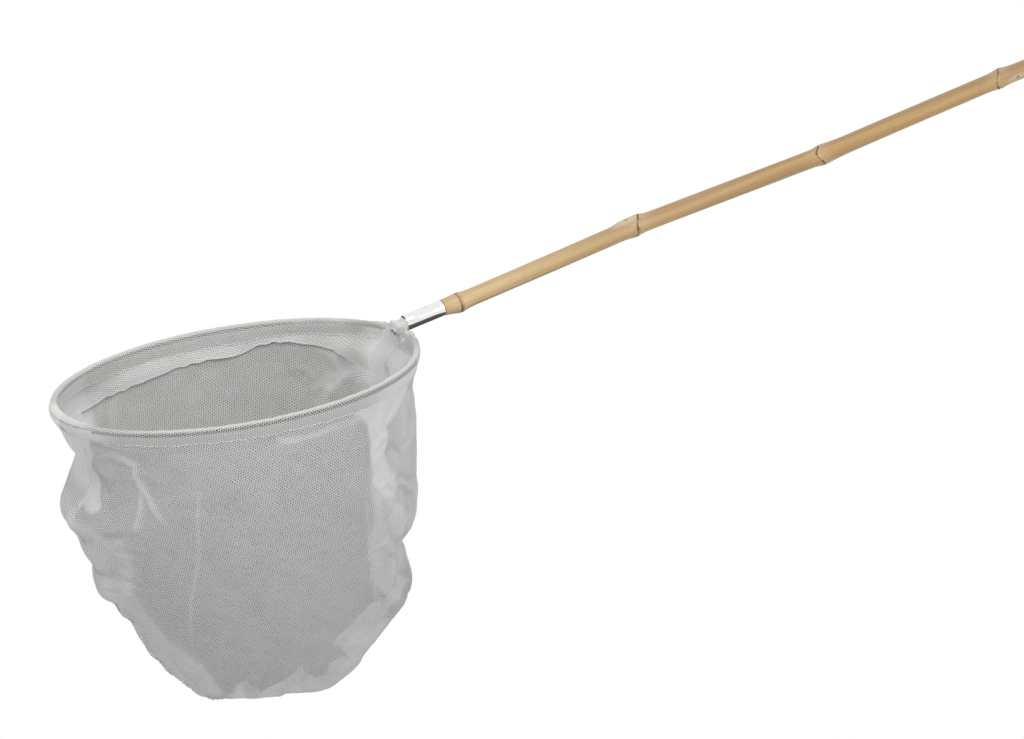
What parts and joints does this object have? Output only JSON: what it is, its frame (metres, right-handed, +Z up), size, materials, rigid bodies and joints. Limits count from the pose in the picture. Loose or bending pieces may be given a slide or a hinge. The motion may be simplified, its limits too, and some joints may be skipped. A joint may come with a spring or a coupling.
{
  "type": "pond net",
  "caption": "Hand-held pond net: a deep U-shaped bag of fine netting hemmed over a round wire hoop, with a plain metal ferrule and a bamboo cane handle.",
  "frame": {"origin": "on the cane's straight axis at the hand grip, near the butt", "axes": "+Z up; +X along the handle's plan direction, from the hoop to the butt; the handle rises towards +X, the hoop leans with it and the bag hangs down"},
  "size_m": [1.1011, 0.2552, 0.5053],
  "materials": {
    "bamboo": "natural cane skin, slightly glossy",
    "bright_plate": "bright nickel plate",
    "galvanised_wire": "zinc coated, dull",
    "white_netting": "fine knitted white netting",
    "white_thread": "white sewing thread"
  },
  "bodies": {
    "root": {"bamboo_cane": "bamboo", "ferrule": "bright_plate", "hoop_wire": "galvanised_wire", "front_net_panel": "white_netting", "back_net_panel": "white_netting", "hem_stitching": "white_thread", "seam_stitching": "white_thread"}
  },
  "joints": []
}
